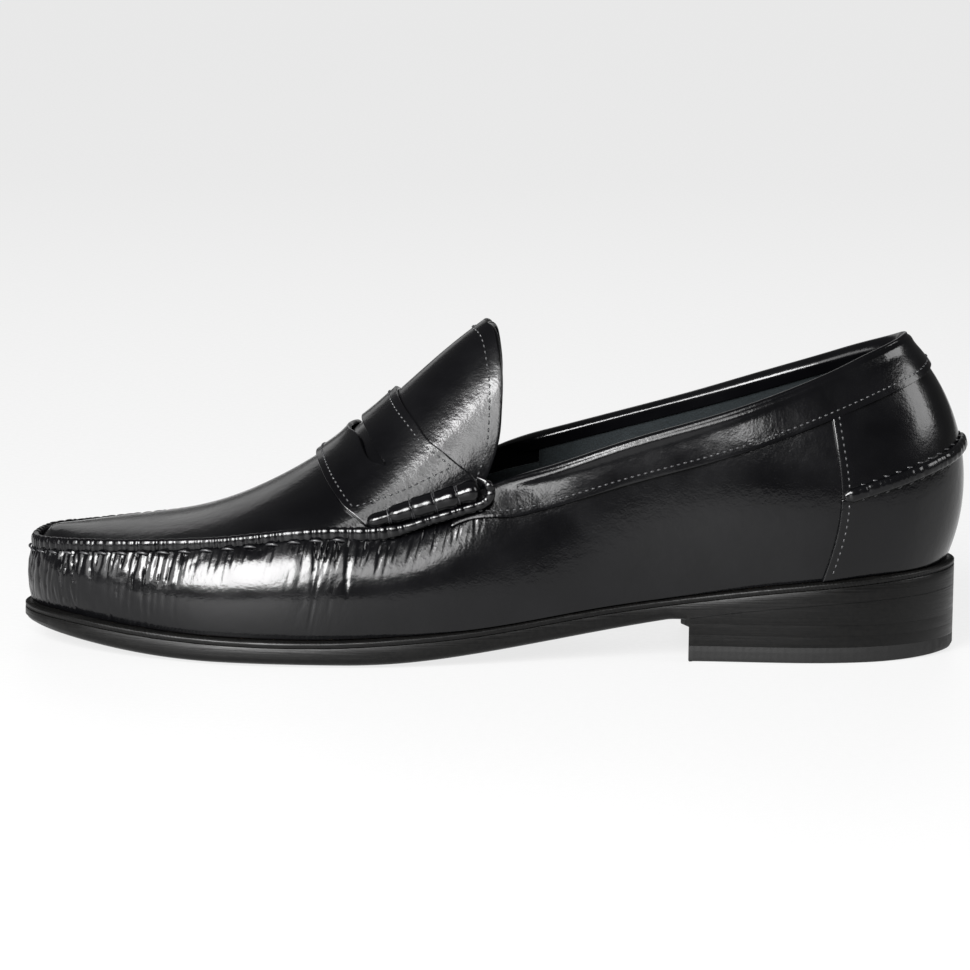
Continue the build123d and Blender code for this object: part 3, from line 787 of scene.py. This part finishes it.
# ---- piping and its whip stitches
def lobed(path, pitch, deep, seed):
    """How full the piping is along its path: creased across at uneven places."""
    run = run_of(path)
    random = np.random.default_rng(seed)
    creases = np.cumsum(pitch * random.uniform(0.45, 1.55, int(run[-1] / pitch) + 8))
    phase = np.interp(run, creases, np.arange(len(creases)))
    depth = np.interp(phase, np.arange(len(creases)), deep * random.uniform(0.5, 1.5, len(creases)))
    shake = rough(seed, 10, 0.3, 1.4)
    return 1 - depth * (1 - np.abs(np.sin(math.pi * phase)) ** 0.5) + 0.05 * shake(run, run * 0)


def roll_point(side, t, around=0.0, away=0.0):
    """A point near a beefroll's axis: t from 0 at its front end, around from outwards, away from the axis."""
    front, rear = [np.array([x, side * y, z]) for x, y, z in ROLL_ENDS]
    axis = unit(rear - front)
    outwards = unit(np.cross(axis, np.array([0, 0, 1.0])) * side)
    outwards = outwards if outwards[1] * side > 0 else -outwards
    up = np.cross(axis, outwards) * (1 if np.cross(axis, outwards)[2] > 0 else -1)
    t, around, away = np.broadcast_arrays(np.asarray(t, float), around, away)
    place = front + (rear - front) * t[..., None]
    return place + away[..., None] * (np.cos(around)[..., None] * outwards + np.sin(around)[..., None] * up)


def under_roll(side):
    """The piping's way under a beefroll, and up round its rear end."""
    tail = ((1.0, 1.45, 3.9), (1.06, 0.9, 2.4), (1.085, -0.6, 1.8), (1.04, -1.25, 4.0))
    low = [(t, -1.35, 4.9) for t in (0.9, 0.68, 0.45, 0.2)]
    return np.array([roll_point(side, *place) for place in (*tail, *low)])


def ends_of(path, count):
    """0 at both ends of a path, rising to 1 over a count of points."""
    index = np.arange(len(path))
    return smooth(np.minimum(index, index[::-1]) / count)


ridge_s = span(float(at(COLLAR_END + 1.95)), float(at(len(RING) - COLLAR_END - 1.95)), 4)
ridge = wall(ridge_s, 1.0, -0.6)
control = np.concatenate([under_roll(-1), ridge, under_roll(1)[::-1]])
knots = run_of(control)
moc_run = np.arange(0, knots[-1], PIPING_STEP)
moc_path = cubic(knots, control)(moc_run)
toe_share = np.clip((-95 - moc_path[:, 0]) / 40, 0, 1)  # the seam faces sideways, and forwards at the toe
moc_out = unit(np.stack([(moc_path[:, 0] + 50) * toe_share, moc_path[:, 1], np.zeros(len(moc_path))], -1))
full = lobed(moc_path, CREASE_PITCH, 0.42, 21)
taper = ends_of(moc_path, 14)
rolls_end = knots[len(under_roll(1)) - 1]  # the piping is slimmer as far as it lies under a beefroll
slim = 0.66 + 0.34 * smooth((np.minimum(moc_run, knots[-1] - moc_run) - rolls_end + 6) / 10)
moc_tall = PIPING[0] * slim * (0.25 + 0.75 * taper) * (0.7 + 0.3 * full)
moc_wide = PIPING[1] * full * (0.3 + 0.7 * taper)
moc_tube = tube(moc_path, moc_out, moc_tall, moc_wide, sides=20, power=0.8)
leather(sweep("moc_seam_piping", moc_tube), "moc_seam_piping", 0)

whip_s = span(float(at(COLLAR_END + 1.7)), float(at(len(RING) - COLLAR_END - 1.7)), 1.0)
whip_path, whip_out = path_normals(lambda s, lift: wall(s, 1 - 2.7 / length_at(s), 0.42 + lift), whip_s)
whip = {"pitch": WHIP_PITCH, "long": 4.2, "radius": WHIP_THREAD, "lean": math.radians(9)}
sew("moc_seam_thread", whip_path, whip_out, **whip)

piping_s = span(MEDIAL_SEAM - ROUND + 2.5, LATERAL_SEAM - 2.5, KICKER_STEP)
on_kicker_seam = lambda s, lift: wall(s, kicker_top(s), 0.55 + over(s) * 0.5 + lift)
piping_path, piping_out = path_normals(on_kicker_seam, piping_s)
full = lobed(piping_path, CREASE_PITCH, 0.2, 22)
ends = ends_of(piping_s, 5)
kicker_tall, kicker_wide = 2.2 * (0.6 + 0.4 * ends), 1.6 * full * (0.5 + 0.5 * ends)
kicker_tube = tube(piping_path, piping_out, kicker_tall, kicker_wide, sides=18, power=0.8)
leather(sweep("kicker_piping", kicker_tube), "kicker_piping", 0)
for shift, lean, name in ((0.031, 24, "upper"), (-0.031, -24, "lower")):
    beside_seam = lambda s, lift: wall(s, kicker_top(s) + shift, over(s) + 0.1 + lift)
    line, out = path_normals(beside_seam, piping_s[10:-10])
    whip = {"pitch": WHIP_PITCH * 0.6, "long": 3.0, "radius": WRAP_THREAD, "lean": math.radians(lean)}
    sew(f"kicker_thread_{name}", line, out, **whip)

# ---- collar band, folded over the topline
collar_s = span(float(at(-COLLAR_END - 0.45)), float(at(COLLAR_END + 0.45)), 1.1)
folded = smooth((8.1 - number(collar_s)) / 1.1)
length = length_at(collar_s)
back_depth = -(0.3 + (LINED + LINING + 0.4) * folded)
hump = 0.4 + 1.3 * folded
hem = 1 - (0.4 + (HEM - 0.4) * folded) / length
foot = collar_foot(collar_s)
up = wall_frame(collar_s)[1]


def over_topline(front, rear, rise, count):
    """Points over the top of the wall, from the front depth to the rear depth."""
    angle = np.linspace(0, math.pi, count + 2)[1:-1]
    depth = (front + rear)[:, None] / 2 + (front - rear)[:, None] / 2 * np.cos(angle)
    top = wall(collar_s[:, None], 1.0, depth)
    return top + up[:, None] * (rise[:, None] * np.sin(angle))[..., None]


front_depth = np.full_like(collar_s, OVERLAY + 0.05)
lip = LIP * folded  # the topline is a rolled edge, fullest a little below its top
hem_depth = back_depth + 0.7 * folded + 0.05
fraction = 1 - (1 - np.linspace(0, 1, 18)) ** 1.7
rising = foot[:, None] + (1 - foot[:, None]) * fraction
below_top = (1 - rising) * length[:, None]
lip_depth = front_depth[:, None] + lip[:, None] * np.exp(-(((below_top - LIP_BELOW) / LIP_WIDE) ** 2))
lip_at_top = front_depth + lip * math.exp(-((LIP_BELOW / LIP_WIDE) ** 2))
hem_fraction = np.linspace(0, 1, 7)
loop = [
    wall(collar_s[:, None], rising, lip_depth),
    over_topline(lip_at_top, back_depth, hump, 11),
    wall(collar_s[:, None], 1 + (hem[:, None] - 1) * hem_fraction, back_depth[:, None]),
    wall(collar_s[:, None], hem[:, None] + (1 - hem[:, None]) * hem_fraction, hem_depth[:, None]),
    over_topline(hem_depth, front_depth - OVERLAY, hump * 0.4, 7),
    wall(collar_s[:, None], 1 + (foot[:, None] - 1) * fraction, front_depth[:, None] - OVERLAY),
]
collar = sweep("collar_band", np.concatenate(loop, 1))
leather(collar, "collar_band", 0.3)

on_collar = lambda s, lift: wall(s, collar_foot(s) + COLLAR_INSET / length_at(s), OVERLAY + 0.05 + lift)
line, out = path_normals(on_collar, collar_s[6:-6])
sew("collar_stitch", line, out)
for name, s in (("lateral", LATERAL_SEAM - 0.8), ("medial", MEDIAL_SEAM - ROUND + 0.8)):
    h = np.linspace(0.03, 0.8, 160)
    line, out = path_normals(lambda h, lift: wall(s + seam_bend(s, h), h, over(s) + lift), h)
    sew(f"rear_seam_stitch_{name}", line, out)

# ---- plug and tongue
mirrored = lambda points: line_of([(-t, x) for t, x in points[:0:-1]] + points)
tongue_end = mirrored(TONGUE_END)
turns = np.linspace(-1, 1, 121)
plug_run = 1 - np.cos(np.linspace(0, math.pi / 2, 260))
fold_noise = rough(31, 10, 0.03, 0.1)


def arch_sheet(name, start, finish, lift, thickness, turns, run):
    """A layer of the arch as a closed sheet between two places, which may depend on the turn."""
    x = start(turns)[None, :] + (finish(turns) - start(turns))[None, :] * run[:, None]
    relief = 0.12 * fold_noise(x, turns[None, :] * 30)
    outer, inner = [arch(x, turns[None, :], depth + relief) for depth in (lift, lift - thickness)]
    return shell(name, outer, inner)


constant = lambda value: lambda turn: np.full_like(turn, value)
plug = arch_sheet("plug", constant(ARCH_START), tongue_end, 0, LEATHER, turns, plug_run)
leather(plug, "plug", 0.4)
lined_turns = np.linspace(-0.93, 0.93, 61)
LININGS_MEET = constant(-46.0)
even = np.linspace(0, 1, 60)
plug_lining = arch_sheet("plug_lining", constant(-140.0), LININGS_MEET, -1.5, 1.0, lined_turns, even)
piece(plug_lining, lining, "lining", "plug_lining")
even = np.linspace(0, 1, 50)
past_tongue = lambda turn: tongue_end(turn) + 0.5
tongue_lining = arch_sheet("tongue_lining", LININGS_MEET, past_tongue, -1.45, 1.1, lined_turns, even)
piece(soften(tongue_lining, 0.4), upper_leather, "lining", "tongue_lining")
t = np.linspace(-0.93, 0.93, 500)
line, out = path_normals(lambda t, lift: arch(tongue_end(t) - TONGUE_INSET, t, lift), t)
sew("tongue_stitch", line, out, pitch=STITCH_PITCH * 1.1)

# ---- saddle strap and its slot
strap_front, strap_rear = mirrored(STRAP_FRONT), mirrored(STRAP_REAR)
slot_front, slot_rear = mirrored(SLOT_FRONT), mirrored(SLOT_REAR)
strap_turns = np.unique(np.concatenate([np.linspace(-0.95, 0.95, 130), [-SLOT_TIP, SLOT_TIP]]))
join = np.interp(np.abs(strap_turns), [SLOT_TIP, 1], [SLOT_TIP_X, -22.0])
open_slot = np.abs(strap_turns) < SLOT_TIP - 1e-9
halves = (
    (strap_front(strap_turns), np.where(open_slot, slot_front(strap_turns), join)),
    (np.where(open_slot, slot_rear(strap_turns), join), strap_rear(strap_turns)),
)
strap_grids = []
run = np.linspace(0, 1, 26)
for half, (start, finish) in enumerate(halves):
    x = start[None, :] + (finish - start)[None, :] * run[:, None]
    near_slot, raised = (run, 0.9) if half == 0 else (1 - run, 0.25)
    lip = raised * near_slot[:, None] ** 4 * np.where(open_slot, 1 - (strap_turns / SLOT_TIP) ** 2, 0)
    strap_grids.append(arch(x, strap_turns[None, :], STRAP_GAP + lip))


def thicken(thing, thickness):
    """Gives an open sheet its thickness, upwards."""
    if sum(face.normal.z * face.area for face in thing.data.polygons) < 0:
        thing.data.flip_normals()
    solid = thing.modifiers.new("thickness", "SOLIDIFY")
    solid.thickness = thickness * UNIT
    solid.offset = 1
    solid.use_even_offset = True
    return thing


leather(thicken(joined("saddle_strap", strap_grids), STRAP), "saddle_strap", 0.4)

strap_top = STRAP_GAP + STRAP
t = np.linspace(-STRAP_END, STRAP_END, 400)
for name, curve, inset in (("front", strap_front, STRAP_INSET), ("rear", strap_rear, -STRAP_INSET)):
    line, out = path_normals(lambda t, lift: arch(curve(t) + inset, t, strap_top + lift), t)
    sew(f"strap_stitch_{name}", line, out)
for name, turn in (("lateral", -STRAP_END), ("medial", STRAP_END)):
    x = np.linspace(strap_front(turn) + 2.4, strap_rear(turn) - 2.4, 200)
    line, out = path_normals(lambda x, lift: arch(x, turn, strap_top + lift), x)
    sew(f"strap_stitch_{name}", line, out)

# ---- beefrolls
for side, name in ((-1, "lateral"), (1, "medial")):
    t = np.linspace(0, 1, 260)
    lobe = np.abs(np.sin(math.pi * LOBES * t)) ** 0.4
    uneven = 1 + 0.05 * np.sin(7.3 * t * LOBES + side)
    size = ROLL * (0.6 + 0.4 * smooth(t / 0.5)) * uneven
    radius = size * (0.74 + 0.26 * lobe) * np.sqrt(np.clip(1 - np.abs(2 * t - 1) ** 24, 0.02, 1))
    angle = circle(40)
    knot = 1 + 0.04 * np.sin(3 * angle + 1)
    sections = roll_point(side, t[:, None], angle[None, :], radius[:, None] * knot[None, :])
    leather(sweep(f"beefroll_{name}", sections), f"beefroll_{name}", 0)
    wraps = []  # two turns of thread in each groove between the lobes
    section = circle(8)
    for wrap in range(1, LOBES):
        groove = np.interp(wrap / LOBES, t, size) * 0.78
        for shift in (-0.009, 0.009):
            middle_t = wrap / LOBES + shift + 0.006 * np.sin(angle)
            ring_t = middle_t[:, None] + 0.0075 * np.cos(section)
            away = groove + WRAP_THREAD * np.sin(section)[None, :]
            wraps.append(roll_point(side, ring_t, angle[:, None], away))
    made = joined(f"beefroll_thread_{name}", wraps, close_rows=True, close_columns=True)
    piece(made, thread, "thread", f"beefroll_thread_{name}")


# ---- sole and heel
closed_plan = np.array(SOLE_PLAN + SOLE_PLAN[:1], float)
plan_steps = run_of(closed_plan)
plan_curve = cubic(plan_steps, closed_plan, closed=True)
plan = plan_curve(np.linspace(0, plan_steps[-1], 4000, endpoint=False))
plan = np.roll(plan, -int(np.argmin(plan[:, 0])), axis=0)
plan_heel = int(np.argmax(plan[:, 0]))
sides = (plan[: plan_heel + 1], np.concatenate([plan[plan_heel:], plan[:1]])[::-1])


def outline(x):
    """The sole's outline from the first x to the last on the lateral side, and back on the medial side."""
    lateral, medial = [np.stack([x, np.interp(x, side[:, 0], side[:, 1])], 1) for side in sides]
    return np.concatenate([lateral, medial[-2:0:-1]])


def inward(points):
    """The direction into the shoe at each point of a closed outline."""
    along = np.roll(points, -1, axis=0) - np.roll(points, 1, axis=0)
    normal = unit(np.stack([-along[:, 1], along[:, 0]], 1))
    return normal if (normal * (points.mean(0) - points)).sum() > 0 else -normal


def layers(points, rows):
    """Sections of a stacked solid: rows are pairs of inset and height."""
    inside = inward(points)
    grid = [
        np.column_stack([points + inside * np.reshape(inset, (-1, 1)), np.broadcast_to(z, len(points))])
        for inset, z in rows
    ]
    return np.stack(grid, 1)


low_x, high_x = plan[:, 0].min(), plan[:, 0].max()
half_x = (high_x - low_x) / 2
whole = low_x + half_x * (1 - np.cos(np.linspace(0, math.pi, 1001)))
edge_line = outline(whole)
wheel = 0.5 + 0.5 * np.sin(2 * math.pi * run_of(edge_line) / WHEEL_PITCH)  # marks pressed in by a wheel
top = seat(edge_line[:, 0])
below = tread(edge_line[:, 0])

welt_rows = [
    (WELT_WIDTH, top - 0.02), (1.9, top - 0.02), (1.5, top - 0.10 - 0.12 * wheel),
    (0.75, top - 0.10 - 0.22 * wheel), (0.3, top - 0.30 - 0.16 * wheel), (0.02, top - 0.65),
    (0.0, top - WELT + 0.95), (0.32 - 0.27 * wheel, top - WELT + 0.6),
    (0.32 - 0.27 * wheel, top - WELT + 0.35), (0.32, top - WELT + 0.05), (WELT_WIDTH, top - WELT + 0.04),
]
piece(sweep("welt", layers(edge_line, welt_rows), closed=True), edge, "welt", "welt")

bevel = 1 - smooth((edge_line[:, 0] - BREAST_X + 8) / 8)  # the edge is rounded below as far as the heel
outsole_rows = [
    (WELT_WIDTH, top - WELT), (0.1, top - WELT), (0.0, top - WELT - 0.15),
    (0.0, (top - WELT) * 0.5 + below * 0.5), (0.15 * bevel, below + 0.1 + 2.3 * bevel),
    (0.06 + 0.65 * bevel, below + 0.06 + 1.3 * bevel), (0.1 + 1.8 * bevel, below + 0.02 + 0.6 * bevel),
    (0.2 + 3.6 * bevel, below + 0.2 * bevel), (0.5 + 6.0 * bevel, below),
]
piece(crisp(stacked("outsole", layers(edge_line, outsole_rows))), edge, "outsole", "outsole")

heel_x = BREAST_X - 1 + (high_x - BREAST_X + 1) * np.sin(np.linspace(0, math.pi / 2, 160))
back_line = outline(heel_x)[: 2 * len(heel_x) - 1]
lateral_corner = back_line[0]
medial_corner = np.array([heel_x[0], np.interp(heel_x[0], sides[1][:, 0], sides[1][:, 1])])
breast_t = np.linspace(0, 1, 40)[1:-1]
across = medial_corner + (lateral_corner - medial_corner) * breast_t[:, None]
across[:, 0] += (BREAST_HOLLOW + 1.5) * 4 * breast_t * (1 - breast_t) + 1.5 * breast_t
heel_line = np.concatenate([back_line, medial_corner[None], across])
heel_below = tread(heel_line[:, 0])


def fan(name, sections):
    """A solid from any closed outline, with flat or gently curved ends filled from their middle."""
    rows, columns = sections.shape[:2]
    faces = [list(f) for f in quads(rows, columns, close_rows=True)]
    centres = [sections[:, column].mean(0) for column in (0, columns - 1)]
    for index, column in enumerate((0, columns - 1)):
        for k in range(rows):
            faces.append([k * columns + column, (k + 1) % rows * columns + column, rows * columns + index])
    return new_object(name, np.concatenate([sections.reshape(-1, 3), centres]), faces)


def heel_layer(name, look, slot, foot, head, round_foot=EDGE_ROUND):
    """One layer of the heel, with its edges just broken so that the layers show as fine lines."""
    rows = [
        (EDGE_ROUND, head), (0.0, head - EDGE_ROUND), (0.0, foot + round_foot),
        (round_foot * 0.35, foot + round_foot * 0.3), (round_foot, foot),
    ]
    piece(crisp(fan(name, layers(heel_line, rows))), look, slot, name)


rear_bevel = 0.5 + 1.2 * smooth((heel_line[:, 0] - 120) / 25)
heel_layer("top_lift", rubber, "top_lift", 0.0, TOP_LIFT, rear_bevel)
heel_layer("heel_lift_1", edge, "heel_stack", TOP_LIFT, TOP_LIFT + HEEL_LIFT)
heel_layer("heel_lift_2", edge, "heel_stack", TOP_LIFT + HEEL_LIFT, TOP_LIFT + 2 * HEEL_LIFT)
heel_layer("heel_wedge", edge, "heel_stack", TOP_LIFT + 2 * HEEL_LIFT, heel_below)

# ---- footbed
bed_x = np.concatenate([[-144.8], np.linspace(-143, 140, 140), [141.6]])
inside = inward(edge_line)
bed_edge = edge_line + inside * FOOTBED_INSET
half = len(bed_edge) // 2
halves = (bed_edge[: half + 1], bed_edge[half:][::-1])
near, far = [np.interp(bed_x, side[:, 0], side[:, 1])[:, None] for side in halves]
fraction = np.linspace(-1, 1, 41)
bed_y = (near + far) / 2 + (far - near) / 2 * fraction
pad_rise = PAD * smooth((bed_x - PAD_RAMP[0]) / PAD_RAMP[1])[:, None]
dip = rough(41, 8, 0.02, 0.07)(bed_x[:, None], bed_y)
bed_z = seat(bed_x)[:, None] + FOOTBED + pad_rise + 0.9 * np.abs(fraction) ** 6 + 0.15 * dip
bed = np.stack([np.broadcast_to(bed_x[:, None], bed_y.shape), bed_y, bed_z], -1)
under = bed - np.array([0, 0, SOCK])
piece(soften(shell("sock_liner", bed, under), 0.25), sock, "sock", "sock_liner")
pad_rows = bed_x > PAD_FRONT
pad_top = under[pad_rows] - np.array([0, 0, 0.05])
pad_foot = pad_top.copy()
pad_foot[..., 2] = (seat(bed_x[pad_rows]) + BOARD)[:, None]
pad_top[..., 2] = np.maximum(pad_top[..., 2], pad_foot[..., 2] + 0.1)
heel_pad = shell("heel_pad", pad_top[:, 2:-2], pad_foot[:, 2:-2])
foam = grained("foam", (0.09, 0.09, 0.1), (0.13, 0.13, 0.14), 1.5, 0.8)
piece(soften(heel_pad, 0.3), foam, "foam", "heel_pad")

# ---- inner pieces that stay as in the CAD
INNER = {
    "heel_nails": grained("brass", (0.6, 0.42, 0.16), (0.5, 0.34, 0.12), 2.0, 0.35, 1.0),
    "shank": grained("steel", (0.4, 0.4, 0.42), (0.5, 0.5, 0.52), 1.0, 0.4, 1.0),
    "cork_filler": grained("cork", (0.42, 0.27, 0.15), (0.2, 0.12, 0.07), 0.8, 0.85),
    "insole_board": grained("insole_leather", (0.4, 0.28, 0.18), (0.34, 0.23, 0.14), 0.5, 0.65),
    "toe_puff": grained("stiffener", (0.6, 0.56, 0.48), (0.52, 0.48, 0.4), 1.2, 0.8),
}
INNER["heel_counter"] = INNER["toe_puff"]
for node, look in INNER.items():
    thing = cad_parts[node]
    thing.data.materials.clear()
    thing.data.materials.append(look)

# ---- floor, light and camera
glow = {"Emission_Color": (1, 1, 1, 1), "Emission_Strength": FLOOR_GLOW}
floor_look = material("floor", (0.06, 0.06, 0.06), 0.55, **glow)
roughen(floor_look, texture(floor_look, "Noise", 0.4, Detail=3.0), 0.5, 0.6)
corners = [(x * FLOOR, y * FLOOR, -FLOOR_DROP) for x, y in ((-1, -1), (1, -1), (1, 1), (-1, 1))]
floor = new_object("floor", corners, [[0, 1, 2, 3]])
floor.data.materials.append(floor_look)

LIT = Vector((0, 0, 0.05))  # where every light aims


def soft_light(name, left, above, away, size, radiance):
    """A rectangular soft light, in degrees left of the camera and above level as seen from the shoe."""
    lamp = bpy.data.lights.new(name, "AREA")
    lamp.shape = "RECTANGLE"
    lamp.size, lamp.size_y = size
    lamp.energy = radiance * math.pi * size[0] * size[1]
    left, above = math.radians(left), math.radians(above)
    level = math.cos(above)
    way = Vector((-math.sin(left) * level, -math.cos(left) * level, math.sin(above)))
    thing = place_in_scene(name, lamp)
    thing.location = LIT + way * away
    thing.rotation_euler = way.to_track_quat("Z", "Y").to_euler()


world = bpy.data.worlds.new("studio")
world.use_nodes = True
sky = world.node_tree.nodes["Background"]
sky.inputs["Color"].default_value = (1, 1, 1, 1)
sky.inputs["Strength"].default_value = SKY
bpy.context.scene.world = world
bpy.context.scene.view_settings.view_transform = "Standard"

LIGHTS = [  # name, degrees left and above, metres away, size, radiance
    ("key", 26.5, 27, 1.2, (0.56, 0.64), 48.0),
    ("key_right", 1, 26, 1.2, (0.43, 0.25), 15.0),
    ("key_above", 3, 38.5, 1.2, (0.3, 0.32), 9.0),
    ("key_left", 56, 20, 1.2, (0.6, 0.62), 5.7),
    ("heel_strip", -80, 29, 1.1, (0.4, 0.5), 9.0),
    ("back", 177, 19, 1.4, (1.1, 0.5), 0.6),
]
for light in LIGHTS:
    soft_light(*light)

# The camera stands level with the shoe's side and looks slightly down.
camera = place_in_scene("camera", bpy.data.cameras.new("camera"))
bpy.context.scene.camera = camera
DISTANCE, ELEVATION, ROLL_ANGLE = 1.5, math.radians(9.5), math.radians(0.7)
LENS = 172.5
target = Vector((-0.0032, 0, 0.0505))
camera.location = target + Vector((0, -DISTANCE * math.cos(ELEVATION), DISTANCE * math.sin(ELEVATION)))
look = (target - camera.location).to_track_quat("-Z", "Y")
camera.rotation_euler = (look.to_matrix() @ Euler((0, 0, ROLL_ANGLE)).to_matrix()).to_euler()
camera.data.lens = LENS
